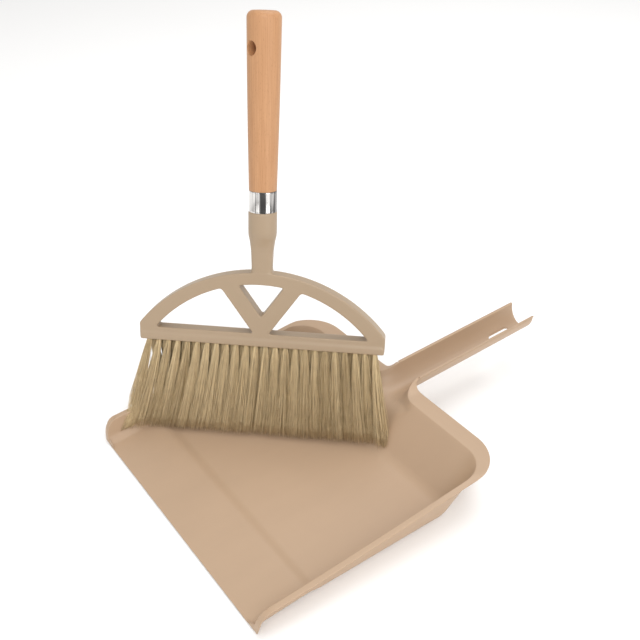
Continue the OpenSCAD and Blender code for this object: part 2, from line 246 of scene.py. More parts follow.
def turned(name, rings, sides):
    """A closed shape from rings of (height, half width, half depth), built upwards."""
    clear_selection()
    z, a, b = rings[0]
    bpy.ops.mesh.primitive_circle_add(vertices=sides, radius=1, fill_type="NGON")
    obj = bpy.context.object
    obj.name = name
    bpy.ops.object.mode_set(mode="EDIT")
    bpy.ops.transform.resize(value=(a, b, 1), center_override=(0, 0, 0))
    bpy.ops.transform.translate(value=(0, 0, z))
    for z2, a2, b2 in rings[1:]:
        bpy.ops.mesh.extrude_region_move(
            TRANSFORM_OT_translate={"value": (0, 0, z2 - z)}
        )
        bpy.ops.transform.resize(value=(a2 / a, b2 / b, 1), center_override=(0, 0, z2))
        z, a, b = z2, a2, b2
    bpy.ops.object.mode_set(mode="OBJECT")
    tidy_mesh(obj)
    return obj


def lathe(name, profile, sides):
    """A closed round shape from (height, radius) pairs, built upwards."""
    return turned(name, [(z, r, r) for z, r in profile], sides)


def modify(obj, kind, **settings):
    """Adds a modifier with these settings and applies it."""
    pick(obj)
    step = obj.modifiers.new(kind.lower(), kind)
    for key, value in settings.items():
        setattr(step, key, value)
    bpy.ops.object.modifier_apply(modifier=step.name)


def combine(obj, other, operation):
    """Adds other to obj, or cuts it away, and removes it."""
    modify(obj, "BOOLEAN", operation=operation, solver="EXACT", object=other)
    bpy.data.objects.remove(other)


def joined(name, objects):
    clear_selection()
    for o in objects:
        o.select_set(True)
    bpy.context.view_layer.objects.active = objects[0]
    bpy.ops.object.join()
    obj = bpy.context.object
    obj.name = name
    return obj


def smooth(obj, degrees):
    pick(obj)
    bpy.ops.object.shade_smooth_by_angle(angle=math.radians(degrees))


def place(obj, matrix):
    """Moves the mesh itself, so that the object stays at the origin."""
    obj.data.transform(obj.matrix_basis)
    obj.matrix_basis = Matrix.Identity(4)
    obj.data.transform(matrix)


def finish_piece(obj, body, material, nodes):
    obj.data.name = obj.name
    obj.data.materials.clear()
    obj.data.materials.append(material)
    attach(obj, body)
    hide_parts(*nodes)


def brush_place(s):
    """From the brush's own frame to the set's."""
    return (
        Matrix.Translation((s.bar_x, s.bar_y, s.bar_z))
        @ Matrix.Rotation(s.turn, 4, "Z")
        @ Matrix.Rotation(-s.lean, 4, "X")
    )


# ------------------------------------------------------------------ finishes


def add(tree, kind, inputs=None, **settings):
    n = tree.nodes.new(kind)
    for key, value in settings.items():
        setattr(n, key, value)
    for key, value in (inputs or {}).items():
        if isinstance(value, bpy.types.NodeSocket):
            tree.links.new(value, n.inputs[key])
        else:
            n.inputs[key].default_value = value
    return n


def effect(name, inputs, outputs):
    """A node group with named sockets, and its input and output nodes."""
    tree = bpy.data.node_groups.new(name, "ShaderNodeTree")
    for label, kind, value in inputs:
        s = tree.interface.new_socket(label, in_out="INPUT", socket_type=kind)
        s.default_value = value
    for label, kind in outputs:
        tree.interface.new_socket(label, in_out="OUTPUT", socket_type=kind)
    return tree, tree.nodes.new("NodeGroupInput"), tree.nodes.new("NodeGroupOutput")


def ramp(tree, value, stops):
    """A grey ramp between two stops of (position, brightness)."""
    n = add(tree, "ShaderNodeValToRGB", {0: value})
    for e, (at, c) in zip(n.color_ramp.elements, stops):
        e.position = at
        e.color = (c, c, c, 1)
    return n.outputs["Color"]


def noise(tree, vector, scale, detail=3, roughness=0.55):
    n = add(
        tree,
        "ShaderNodeTexNoise",
        {"Vector": vector, "Scale": scale, "Detail": detail, "Roughness": roughness},
    )
    return n.outputs["Fac"]


def maths(tree, operation, a, b):
    return add(tree, "ShaderNodeMath", {0: a, 1: b}, operation=operation).outputs[0]


def tint(tree, factor, a, b, blend_type="MIX"):
    n = add(
        tree,
        "ShaderNodeMix",
        {"Factor": factor, 6: a, 7: b},
        data_type="RGBA",
        blend_type=blend_type,
    )
    return n.outputs[2]


def moulded_effect():
    """Moulded plastic: faint clouds in the colour, flow marks and a fine texture."""
    tree, source, out = effect(
        "Moulded Plastic Surface",
        [
            ("Vector", "NodeSocketVector", (0, 0, 0)),
            ("Colour", "NodeSocketColor", (0.5, 0.5, 0.5, 1)),
            ("Tone", "NodeSocketFloat", 0.06),
            ("Roughness", "NodeSocketFloat", 0.45),
            ("Grain Scale", "NodeSocketFloat", 2500.0),
        ],
        [
            ("Colour", "NodeSocketColor"),
            ("Roughness", "NodeSocketFloat"),
            ("Height", "NodeSocketFloat"),
        ],
    )
    place_in = source.outputs["Vector"]
    clouds = noise(tree, place_in, 14, 4)
    flow = add(
        tree, "ShaderNodeMapping", {"Vector": place_in, "Scale": (60, 9, 25)}
    ).outputs[0]
    marks = noise(tree, flow, 1.0, 2)
    both = maths(tree, "ADD", clouds, maths(tree, "MULTIPLY", marks, 0.5))
    shade = maths(tree, "SUBTRACT", both, 0.75)
    amount = maths(tree, "MULTIPLY", shade, source.outputs["Tone"])
    factor = maths(tree, "ADD", amount, 1.0)
    scaled = add(
        tree,
        "ShaderNodeVectorMath",
        {0: source.outputs["Colour"], "Scale": factor},
        operation="SCALE",
    ).outputs[0]
    fine = noise(tree, place_in, source.outputs["Grain Scale"], 2)
    gloss = maths(tree, "MULTIPLY", maths(tree, "SUBTRACT", clouds, 0.5), 0.18)
    rough = maths(tree, "ADD", source.outputs["Roughness"], gloss)
    tree.links.new(scaled, out.inputs["Colour"])
    tree.links.new(rough, out.inputs["Roughness"])
    tree.links.new(
        maths(tree, "ADD", fine, maths(tree, "MULTIPLY", marks, 0.6)),
        out.inputs["Height"],
    )
    return tree


def streak_effect():
    """Long streaks along the third axis: wood grain, or the steel's bands, which are painted
    reflections in its colour and fine lines in its bump.
    """
    tree, source, out = effect(
        "Fine Streaks",
        [
            ("Vector", "NodeSocketVector", (0, 0, 0)),
            ("Across", "NodeSocketFloat", 900.0),
            ("Along", "NodeSocketFloat", 20.0),
        ],
        [("Streaks", "NodeSocketFloat"), ("Broad", "NodeSocketFloat")],
    )
    across, along = source.outputs["Across"], source.outputs["Along"]
    fine_scale = add(
        tree, "ShaderNodeCombineXYZ", {"X": across, "Y": across, "Z": along}
    ).outputs[0]
    fine_place = add(
        tree,
        "ShaderNodeVectorMath",
        {0: source.outputs["Vector"], 1: fine_scale},
        operation="MULTIPLY",
    ).outputs[0]
    broad_place = add(
        tree,
        "ShaderNodeVectorMath",
        {0: fine_place, 1: (0.16, 0.16, 0.35)},
        operation="MULTIPLY",
    ).outputs[0]
    tree.links.new(noise(tree, fine_place, 1.0, 4, 0.6), out.inputs["Streaks"])
    tree.links.new(noise(tree, broad_place, 1.0, 3, 0.5), out.inputs["Broad"])
    return tree


def material(name):
    m = bpy.data.materials.get(name)
    if m is None:
        m = bpy.data.materials.new(name)
        m.use_nodes = True
    return m, m.node_tree, m.node_tree.nodes["Principled BSDF"]


def wire_up(tree, shader, base, rough, height, strength, distance):
    tree.links.new(base, shader.inputs["Base Color"])
    tree.links.new(rough, shader.inputs["Roughness"])
    bump = add(
        tree, "ShaderNodeBump", {"Height": height, "Strength": strength, "Distance": distance}
    )
    tree.links.new(bump.outputs["Normal"], shader.inputs["Normal"])


def plastic(name, base, tone, rough, group):
    """Moulded plastic in its own colour, cloudiness and roughness."""
    m, tree, shader = material(name)
    coords = add(tree, "ShaderNodeTexCoord").outputs["Object"]
    inputs = {"Vector": coords, "Colour": (*base, 1), "Tone": tone, "Roughness": rough}
    g = add(tree, "ShaderNodeGroup", inputs, node_tree=group)
    surface = [g.outputs[key] for key in ("Colour", "Roughness", "Height")]
    wire_up(tree, shader, *surface, 0.12, 0.00004)
    shader.inputs["Specular IOR Level"].default_value = 0.45
    return m


def in_brush_frame(tree, sizes):
    """Object coordinates turned into the brush's own frame."""
    coords = add(tree, "ShaderNodeTexCoord").outputs["Object"]
    return add(
        tree,
        "ShaderNodeMapping",
        {
            "Vector": coords,
            "Location": (sizes.bar_x, sizes.bar_y, sizes.bar_z),
            "Rotation": (-sizes.lean, 0, sizes.turn),
        },
        vector_type="TEXTURE",
    ).outputs[0]


def beech(finish, sizes, group):
    """Oiled beech: straight fine grain, broad bands and short dark flecks."""
    m, tree, shader = material("Oiled Beech")
    place_in = in_brush_frame(tree, sizes)
    inputs = {"Vector": place_in, "Across": 1500, "Along": 22}
    grain = add(tree, "ShaderNodeGroup", inputs, node_tree=group)
    fleck_place = add(
        tree, "ShaderNodeMapping", {"Vector": place_in, "Scale": (1600, 1600, 260)}
    ).outputs[0]
    flecks = add(
        tree, "ShaderNodeTexVoronoi", {"Vector": fleck_place, "Scale": 1.0}
    ).outputs["Distance"]
    fleck = ramp(tree, flecks, [(0.10, 1.0), (0.24, 0.0)])
    streaks = ramp(tree, grain.outputs["Streaks"], [(0.32, 0.0), (0.72, 1.0)])
    broad = ramp(tree, grain.outputs["Broad"], [(0.35, 0.0), (0.7, 1.0)])
    light, dark = (*finish.wood_light, 1), (*finish.wood_dark, 1)
    base = tint(tree, maths(tree, "MULTIPLY", streaks, 0.62), light, dark)
    base = tint(tree, maths(tree, "MULTIPLY", broad, 0.35), base, dark)
    deep = tuple(0.62 * c for c in finish.wood_dark) + (1,)
    base = tint(tree, maths(tree, "MULTIPLY", fleck, 0.42), base, deep)
    rough = maths(tree, "ADD", maths(tree, "MULTIPLY", streaks, 0.12), 0.40)
    wire_up(tree, shader, base, rough, grain.outputs["Streaks"], 0.18, 0.00006)
    shader.inputs["Specular IOR Level"].default_value = 0.4
    return m


def steel(name, base, sizes, group, rough_low):
    """Steel with bright and dark bands running its length: the dark bands are painted
    reflections in its colour, the bump is its drawn lines.
    """
    m, tree, shader = material(name)
    place_in = in_brush_frame(tree, sizes)
    inputs = {"Vector": place_in, "Across": 300, "Along": 6}
    lines = add(tree, "ShaderNodeGroup", inputs, node_tree=group)
    streaks = ramp(tree, lines.outputs["Streaks"], [(0.46, 0.0), (0.58, 1.0)])
    # Painted reflection: the dark bands take the steel's colour down to a tenth, standing in
    # for dark surroundings mirrored in it.
    painted_reflection_dark = tuple(0.1 * c for c in base) + (1,)
    painted_reflection_colour = tint(tree, streaks, (*base, 1), painted_reflection_dark)
    rough = maths(tree, "ADD", maths(tree, "MULTIPLY", streaks, 0.14), rough_low)
    wire_up(tree, shader, painted_reflection_colour, rough, streaks, 0.1, 0.00002)
    shader.inputs["Metallic"].default_value = 1.0
    return m


def bristle_finish(finish):
    """Strands from straw to khaki, a little darker and redder towards their tips."""
    m, tree, shader = material("Bristle")
    tone = add(tree, "ShaderNodeAttribute", attribute_name="tone").outputs["Fac"]
    along = add(tree, "ShaderNodeAttribute", attribute_name="along").outputs["Fac"]
    coords = add(tree, "ShaderNodeTexCoord").outputs["Object"]
    patches = noise(tree, coords, 160, 3)
    shade = maths(
        tree, "ADD", maths(tree, "MULTIPLY", tone, 0.62), maths(tree, "MULTIPLY", patches, 0.5)
    )
    base = tint(
        tree,
        ramp(tree, shade, [(0.22, 0.0), (0.86, 1.0)]),
        (*finish.khaki, 1),
        (*finish.straw, 1),
    )
    # The last part of each strand is tinted a little darker and redder towards its tip.
    tips = ramp(tree, along, [(0.86, 0.0), (1.0, 1.0)])
    tip_brown = (0.33, 0.185, 0.105, 1)
    base = tint(tree, maths(tree, "MULTIPLY", tips, 0.08), base, tip_brown)
    rough = maths(tree, "ADD", maths(tree, "MULTIPLY", patches, 0.2), 0.42)
    wire_up(tree, shader, base, rough, patches, 0.05, 0.00003)
    shader.inputs["Specular IOR Level"].default_value = 0.35
    return m


def ground_finish(finish):
    m, tree, shader = material("Pale Ground")
    coords = add(tree, "ShaderNodeTexCoord").outputs["Object"]
    clouds = noise(tree, coords, 3, 2)
    low = tuple(0.985 * c for c in finish.ground) + (1,)
    tree.links.new(
        tint(tree, clouds, (*finish.ground, 1), low), shader.inputs["Base Color"]
    )
    shader.inputs["Roughness"].default_value = 0.95
    shader.inputs["Specular IOR Level"].default_value = 0.1
    return m


# ------------------------------------------------------------------ the pan

FLOOR_STEPS, SOFT_STEPS, WALL_STEPS, RIM_STEPS = 3, 8, 10, 4
EDGE_STEP = FLOOR_STEPS + SOFT_STEPS + WALL_STEPS
ALL_STEPS = EDGE_STEP + RIM_STEPS
# Width of the band of floor, next to the walls, that is laid out with them
PAN_INSET = 0.021
# Widest gap closed where the pan's pieces and its two halves meet
SEAM_GAP = 2e-5
# Radius of the crease where the funnel meets the rear wall, and where it fades out
CREASE, CREASE_FROM, CREASE_RUN = 0.007, 0.014, 0.013
# Share of the mouth's turn over which its rim stays on the rear edge
RIM_TURN = 0.45
GRIP_ROWS = 44
TROUGH_COLUMNS, MOUTH_COLUMNS, REAR_COLUMNS = 12, 12, 14


def rim_height(s, y):
    full = s.depth + s.rear_lean + s.rim_rear - s.rim_radius
    climb = s.front_height + (s.height - s.front_height) * min(y / full, 1) ** 1.3
    return climb * math.sqrt(1 - max(1 - y / s.nose, 0) ** 2)


def floor_height(s, y):
    if y < s.ramp:
        return mix(s.lip, s.floor + s.crest, y / s.ramp)
    run = min((y - s.ramp) / s.crest_run, 1)
    return s.floor + s.crest * (1 + math.cos(math.pi * run)) / 2


def wall_step(m, base, top, lean, soft, inset):
    """Height, shift along the wall's normal and share of the rim's width at a step."""
    slope = math.atan2(1, lean)
    top = max(top, base)
    soft = min(soft, 0.85 * (top - base) / (1 - math.cos(slope)))
    run = soft * math.tan(slope / 2)
    if m <= FLOOR_STEPS:
        return base, mix(-inset, -run, m / FLOOR_STEPS), 0
    if m <= FLOOR_STEPS + SOFT_STEPS:
        a = slope * (m - FLOOR_STEPS) / SOFT_STEPS
        up = soft * (1 - math.cos(a))
        return base + up, soft * math.sin(a) - run - up * lean, 0
    if m <= EDGE_STEP:
        low = base + soft * (1 - math.cos(slope))
        return mix(low, top, (m - FLOOR_STEPS - SOFT_STEPS) / WALL_STEPS), 0, 0
    return top, 0, (m - EDGE_STEP) / RIM_STEPS


def pan_section(s, z, shift, share):
    """Half width, depth and corner radius of the pan's inside, or out on its rim."""
    up = z / s.height
    half = s.width / 2 - s.wall + s.side_lean * up + shift
    back = s.depth - s.wall + s.rear_lean * up + shift
    radius = max(s.foot_radius + (s.top_radius - s.foot_radius) * up + shift, 1e-5)
    half += share * (s.wall + s.rim_side)
    back += share * (s.wall + s.rim_rear)
    return half, back, mix(radius, s.rim_radius, share)


def round_corner(half, back, radius, x0, y0, u):
    """A point at share u of the way from the side, round the corner, to the rear."""
    side = back - radius - y0
    arc = radius * math.pi / 2
    rear = half - radius - x0
    d = u * (side + arc + rear)
    if d <= side:
        return half, y0 + d, 0
    if d <= side + arc:
        a = (d - side) / radius
        return (
            half - radius + radius * math.cos(a),
            back - radius + radius * math.sin(a),
            a,
        )
    return half - radius - (d - side - arc), back, math.pi / 2


def channel_axis(s, y):
    """Height of the pan handle's open edges."""
    start = s.depth + s.rear_lean + s.rim_rear
    return s.height + s.grip_up + (y - start) * math.tan(s.grip_slope)


def mouth_edge(s, turn):
    """Plan place of the mouth's edge, from the rear rim into the handle."""
    x = s.mouth - (s.mouth - s.grip_radius) * math.sin(turn)
    y = s.depth - s.wall + s.rear_lean + s.mouth_run * (1 - math.cos(turn))
    return x, y


def mouth_rim_height(s, y):
    start = s.depth - s.wall + s.rear_lean
    return mix(s.height, channel_axis(s, y), ease((y - start) / s.mouth_run))


def mouth_height(s, x, y):
    """The rear wall flowing into the handle's channel."""
    start = s.depth - s.wall + s.rear_lean
    slope = (y - s.depth + s.wall) * s.height / s.rear_lean
    t = (y - start) / s.mouth_run
    if t < 0:
        half = s.mouth - t * s.mouth_run * 3
    else:
        half = s.mouth - (s.mouth - s.grip_radius) * math.sqrt(
            max(1 - (1 - min(t, 1)) ** 2, 0)
        )
    across = min(x / half, 1)
    hollow = 1 - math.sqrt(1 - across**2)
    share = mix(across**2, hollow, ease(t))
    low = channel_axis(s, y) - s.grip_depth
    channel = mix(low, mouth_rim_height(s, y), share)
    soft = max(CREASE * (1 - ease((x - CREASE_FROM) / CREASE_RUN)), 1e-6)
    h = min(max(0.5 + 0.5 * (channel - slope) / soft, 0), 1)
    return mix(channel, slope, h) - soft * h * (1 - h)


def pan_columns(s, x0):
    """Columns across half the pan: the handle's channel, its mouth, the rear wall."""
    turn = [math.pi / 2 * k / TROUGH_COLUMNS for k in range(TROUGH_COLUMNS + 1)]
    out = [(s.grip_radius * math.sin(a), None) for a in turn]
    for k in range(1, MOUTH_COLUMNS + 1):
        a = math.pi / 2 * (1 - k / MOUTH_COLUMNS)
        out.append((mouth_edge(s, a)[0], a))
    return out + [(x, 0.0) for x in even_steps(s.mouth, x0, REAR_COLUMNS)]


def pan_rows(s, y0):
    nose = [0, 0.0007, 0.0016, 0.0028, 0.0043, 0.0062, s.nose]
    crest_end = s.ramp + s.crest_run
    rows = nose + even_steps(s.nose, s.ramp, 7) + even_steps(s.ramp, crest_end, 8)
    return rows + even_steps(crest_end, y0, 18)


def rear_point(s, x, turn, m, inset):
    """A point of the rear wall at a column, counted up from the floor."""
    lean = s.rear_lean / s.height
    base = s.floor
    z, shift, share = wall_step(m, base, s.height, lean, s.rear_soft, inset)
    y = s.depth - s.wall + z * lean + shift + share * (s.wall + s.rim_rear)
    if turn == 0.0 or m <= FLOOR_STEPS + SOFT_STEPS:
        return x, y, z
    edge_x, edge_y = mouth_edge(s, math.pi / 2 if turn is None else turn)
    if m <= EDGE_STEP or turn is None:
        t = min((m - FLOOR_STEPS - SOFT_STEPS) / WALL_STEPS, 1)
        z0, shift0, _ = wall_step(
            FLOOR_STEPS + SOFT_STEPS, base, s.height, lean, s.rear_soft, inset
        )
        y = mix(s.depth - s.wall + z0 * lean + shift0, edge_y, t)
        z = mouth_height(s, x, y)
        if turn is not None:
            miss = mouth_rim_height(s, edge_y) - mouth_height(s, x, edge_y)
            z += miss * t * t
        return x, y, z
    far_x, far_y = mouth_far_edge(s, turn)
    return (
        mix(edge_x, far_x, share),
        mix(edge_y, far_y, share),
        mouth_rim_height(s, edge_y),
    )


def mouth_far_edge(s, turn):
    """The rim's outer edge, turning into the outside of the handle."""
    rear = s.depth + s.rear_lean + s.rim_rear
    edge = s.grip_radius + s.wall
    small = s.mouth_run + s.depth - s.wall + s.rear_lean - rear
    t = turn / (math.pi / 2)
    if t < RIM_TURN:
        return mix(s.mouth, edge + small, t / RIM_TURN), rear
    a = math.pi / 2 * (t - RIM_TURN) / (1 - RIM_TURN)
    return edge + small * (1 - math.sin(a)), rear + small * (1 - math.cos(a))


def grid_piece(points):
    """A grid primitive, each crossing set to its own place."""
    rows, columns = len(points), len(points[0])
    clear_selection()
    bpy.ops.mesh.primitive_grid_add(
        x_subdivisions=columns - 1, y_subdivisions=rows - 1, size=1
    )
    obj = bpy.context.object
    flat = np.array(points, float).reshape(-1)
    obj.data.vertices.foreach_set("co", flat)
    obj.data.update()
    return obj


def pan_points(s):
    """The pan's inside for x from 0 to the rim, row by row from the lip."""
    inset = PAN_INSET
    x0 = s.width / 2 - s.wall - inset
    y0 = s.depth - s.wall - inset
    columns, rows = pan_columns(s, x0), pan_rows(s, y0)
    side = s.side_lean / s.height
    points = []
    for y in rows:
        base, top = floor_height(s, y), rim_height(s, y)
        line = [(x, y, base) for x, _ in columns]
        for m in range(1, ALL_STEPS + 1):
            z, shift, share = wall_step(m, base, top, side, s.side_soft, inset)
            line.append((pan_section(s, z, shift, share)[0], y, z))
        points.append(line)
    gain = (s.top_radius - s.foot_radius) / s.height
    for b in range(1, ALL_STEPS + 1):
        line = [rear_point(s, x, turn, b, inset) for x, turn in columns]
        for a in range(1, ALL_STEPS + 1):
            m = max(a, b)
            u = (b if a == m else 2 * m - a) / (2 * m)
            rim = pan_section(s, s.height, 0, 0)
            _, rim_y, phi = round_corner(*rim, x0, y0, u)
            lean = (
                (side - gain) * math.cos(phi)
                + (s.rear_lean / s.height - gain) * math.sin(phi)
                + gain
            )
            soft = mix(s.side_soft, s.rear_soft, math.sin(phi) ** 2)
            z, shift, share = wall_step(
                m, s.floor, rim_height(s, rim_y), lean, soft, inset
            )
            section = pan_section(s, z, shift, share)
            x, y, _ = round_corner(*section, x0, y0, u)
            line.append((x, y, z))
        points.append(line)
    return points


def grip_points(s, start):
    """The handle's channel behind the mouth, and the narrow rim on its edge."""
    end = s.depth + s.rear_lean + s.rim_rear + s.grip_length * math.cos(s.grip_slope)
    rows = [start] + even_steps(start, end, GRIP_ROWS)
    channel, edge = [], []
    for y in rows:
        axis = channel_axis(s, y)
        line = []
        for k in range(TROUGH_COLUMNS + 1):
            a = math.pi / 2 * k / TROUGH_COLUMNS
            line.append(
                (s.grip_radius * math.sin(a), y, axis - s.grip_depth * math.cos(a))
            )
        channel.append(line)
        edge.append(
            [(s.grip_radius + s.wall * k / RIM_STEPS, y, axis) for k in range(RIM_STEPS + 1)]
        )
    return channel, edge


def thin_the_lip(obj, s):
    """Thickness weights: the floor thins to the lip, and the walls are even."""
    group = obj.vertex_groups.new(name="thickness")
    for v in obj.data.vertices:
        y = v.co.y
        w = mix(s.lip / s.floor, 1, min(max(y / s.ramp, 0), 1))
        if v.co.z > floor_height(s, max(y, 0)) + 0.0004 and y > 0.0001:
            w = s.wall / s.floor
        group.add([v.index], w, "REPLACE")
    return group


def soften_edges(obj, s):
    """Rounds the moulded edges in edit mode, the thin lip less than the rest."""
    pick(obj)
    bpy.ops.object.mode_set(mode="EDIT")
    bpy.ops.mesh.select_mode(type="EDGE")
    bpy.ops.mesh.select_all(action="DESELECT")
    bpy.ops.mesh.edges_select_sharp(sharpness=math.radians(38))
    bpy.ops.object.mode_set(mode="OBJECT")
    mesh = obj.data
    for e in mesh.edges:
        if not e.select:
            continue
        a, b = (mesh.vertices[i].co for i in e.vertices)
        e.select = min(a.y, b.y) > 0.002 and (b - a).length > 0.0002
    bpy.ops.object.mode_set(mode="EDIT")
    bpy.ops.mesh.bevel(
        offset=s.edge, segments=3, profile=0.5, affect="EDGES", clamp_overlap=False
    )
    bpy.ops.mesh.select_mode(type="VERT")
    bpy.ops.object.mode_set(mode="OBJECT")


def flatten_underside(obj):
    """Brings anything below the ground up to it."""
    for v in obj.data.vertices:
        v.co.z = max(v.co.z, 0)


def slot_cutter(s):
    """A long rounded cutter for the hanging slot, wider where it leaves the wall."""
    r = s.slot_width / 2
    profile = [(-0.02, r), (-0.0004, r), (0.0, r + 0.0004), (0.004, r + 0.002)]
    cutter = lathe("slot_cutter", profile, 32)
    stretch = s.slot_length - s.slot_width
    for v in cutter.data.vertices:
        v.co.y += stretch / 2 if v.co.y > 0 else -stretch / 2
    rear = s.depth + s.rear_lean + s.rim_rear
    middle = rear + s.grip_length - s.slot_end - s.slot_length / 2
    low = channel_axis(s, middle) - s.grip_depth
    place(
        cutter,
        Matrix.Translation((0, middle, low + 0.0008)) @ Matrix.Rotation(s.grip_slope, 4, "X"),
    )
    return cutter


def build_pan(s):
    main = grid_piece(pan_points(s))
    _, mouth_end = mouth_edge(s, math.pi / 2)
    channel, edge = grip_points(s, mouth_end)
    pan = joined("dust_pan", [main, grid_piece(channel), grid_piece(edge)])
    pick(pan)
    bpy.ops.object.mode_set(mode="EDIT")
    bpy.ops.mesh.select_all(action="SELECT")
    bpy.ops.mesh.remove_doubles(threshold=SEAM_GAP)
    bpy.ops.mesh.dissolve_degenerate(threshold=1e-5)
    bpy.ops.object.mode_set(mode="OBJECT")
    modify(pan, "MIRROR", merge_threshold=SEAM_GAP, use_clip=True)
    bpy.ops.object.mode_set(mode="EDIT")
    bpy.ops.mesh.select_all(action="SELECT")
    bpy.ops.mesh.normals_make_consistent(inside=False)
    bpy.ops.object.mode_set(mode="OBJECT")
    if sum(p.normal.z * p.area for p in pan.data.polygons) < 0:
        pan.data.flip_normals()
    group = thin_the_lip(pan, s)
    modify(
        pan,
        "SOLIDIFY",
        thickness=s.floor,
        offset=-1,
        use_even_offset=True,
        thickness_clamp=1.2,
        vertex_group=group.name,
    )
    flatten_underside(pan)
    tidy_mesh(pan, 3e-5)
    soften_edges(pan, s)
    flatten_underside(pan)
    combine(pan, slot_cutter(s), "DIFFERENCE")
    place(pan, Matrix.Translation((0, -s.lip_to_origin, 0)))
    smooth(pan, 32)
    return pan


# ------------------------------------------------------------------ the brush head

# Gap between parts that fit over one another
SNUG = 0.00005
# Size of the even mesh that gives the moulding its soft edges
VOXEL = 0.00052
# Reach of the frame's corners: most of them, those at the ribs, the bow's ends
CORNER, RIB_CORNER, END_CORNER = 0.0022, 0.002, 0.0014
CORNER_STEPS = 6
# How far from a corner the bow's curve starts
BOW_START = 0.003


def rounded_line(corners):
    """A closed outline from (x, y, radius) corners, the corners rounded."""
    out = []
    n = len(corners)
    for k, (x, y, r) in enumerate(corners):
        p = Vector((x, y))
        if r == 0:
            out.append(p)
            continue
        before = Vector(corners[k - 1][:2]) - p
        after = Vector(corners[(k + 1) % n][:2]) - p
        a, b = p + before.normalized() * r, p + after.normalized() * r
        for i in range(CORNER_STEPS + 1):
            t = i / CORNER_STEPS
            out.append((a * (1 - t) + p * t) * (1 - t) + (p * (1 - t) + b * t) * t)
    return out


def bow_circle(half, rise, top):
    """Height of a bow's centre and its radius."""
    r = (half**2 + rise**2) / (2 * rise)
    return top - r, r


def arc_points(centre, r, x1, x2, steps):
    return [
        (x, centre + math.sqrt(r * r - x * x), 0)
        for x in (mix(x1, x2, k / steps) for k in range(steps + 1))
    ]


def meet(centre, r, s, offset, side):
    """Where a rib's edge meets the inside of the bow."""
    tan = math.tan(s.rib_lean)
    shift = offset / math.cos(s.rib_lean)
    low, high = 0.0, s.bow
    for _ in range(50):
        y = (low + high) / 2
        x = side * ((y - s.rib_cross) * tan + shift)
        if x * x + (y - centre) ** 2 < r * r:
            low = y
        else:
            high = y
    return x, y


def head_outlines(s):
    """The frame's outline and its three windows."""
    half = s.bar / 2
    centre, r = bow_circle(half, s.bow - s.end, s.bow)
    outer = [(-half, 0, CORNER), (half, 0, CORNER), (half, s.end, END_CORNER)]
    outer += arc_points(centre, r, half - BOW_START, -half + BOW_START, 60)
    outer += [(-half, s.end, END_CORNER)]
    top = s.bow - s.band
    in_half = half - s.window_end
    in_centre, in_r = bow_circle(in_half, top - s.bar_height, top)
    tan, cos = math.tan(s.rib_lean), math.cos(s.rib_lean)
    foot_x = (s.bar_height - s.rib_cross) * tan + s.rib / 2 / cos
    side_x, side_y = meet(in_centre, in_r, s, s.rib / 2, 1)
    right = [(foot_x, s.bar_height, RIB_CORNER), (side_x, side_y, RIB_CORNER)]
    right += arc_points(in_centre, in_r, side_x + BOW_START, in_half - BOW_START, 30)
    right += [(in_half, s.bar_height, CORNER)]
    left = [(-x, y, c) for x, y, c in reversed(right)]
    tip_y = s.rib_cross + s.rib / 2 / cos / tan
    mid_x, mid_y = meet(in_centre, in_r, s, -s.rib / 2, 1)
    middle = [(0, tip_y, CORNER), (-mid_x, mid_y, RIB_CORNER)]
    middle += arc_points(in_centre, in_r, -mid_x + BOW_START, mid_x - BOW_START, 16)
    middle += [(mid_x, mid_y, RIB_CORNER)]
    return [outer, right, left, middle]


def head_frame(s):
    """A flat filled curve, thickened, with the windows left open."""
    clear_selection()
    flat = bpy.data.curves.new("frame", "CURVE")
    flat.dimensions = "2D"
    flat.fill_mode = "BOTH"
    flat.extrude = s.frame / 2
    for corners in head_outlines(s):
        line = rounded_line(corners)
        spline = flat.splines.new("POLY")
        spline.points.add(len(line) - 1)
        for p, (x, y) in zip(spline.points, line):
            p.co = (x, y, 0, 1)
        spline.use_cyclic_u = True
    obj = bpy.data.objects.new("brush_frame", flat)
    bpy.context.scene.collection.objects.link(obj)
    pick(obj)
    bpy.ops.object.convert(target="MESH")
    obj = bpy.context.object
    tidy_mesh(obj, 1e-5)
    place(obj, Matrix.Rotation(math.pi / 2, 4, "X"))
    return obj


def head_bar(s):
    """The bar's thicker foot, flared towards the bristles and tapered at its ends."""
    clear_selection()
    bpy.ops.mesh.primitive_cube_add(size=1)
    bar = bpy.context.object
    bpy.ops.object.mode_set(mode="EDIT")
    bpy.ops.mesh.subdivide(number_cuts=1)
    bpy.ops.object.mode_set(mode="OBJECT")
    half = s.bar / 2
    for v in bar.data.vertices:
        level = round((v.co.z + 0.5) * 2)
        z = (0, 0.42, 0.72)[level] * s.bar_height
        thick = (s.bar_thick, s.bar_thick, s.frame - 0.0004)[level] / 2
        end = (half - 0.0002, half - 0.0004, half - 0.005)[level]
        x = math.copysign(end, v.co.x) if abs(v.co.x) > 0.1 else 0
        y = math.copysign(thick, v.co.y) if abs(v.co.y) > 0.1 else 0
        v.co = (x, y, z)
    pick(bar)
    bpy.ops.object.mode_set(mode="EDIT")
    bpy.ops.mesh.select_all(action="DESELECT")
    bpy.ops.mesh.select_mode(type="EDGE")
    bpy.ops.object.mode_set(mode="OBJECT")
    for e in bar.data.edges:
        a, b = (bar.data.vertices[i].co for i in e.vertices)
        e.select = abs(abs(a.x) - half) < 0.001 and abs(abs(b.x) - half) < 0.001 and (
            abs(a.y) > 0.006 and abs(a.y - b.y) < 1e-6
        )
    bpy.ops.object.mode_set(mode="EDIT")
    bpy.ops.mesh.bevel(offset=0.0016, segments=4, affect="EDGES")
    bpy.ops.object.mode_set(mode="OBJECT")
    tidy_mesh(bar)
    return bar


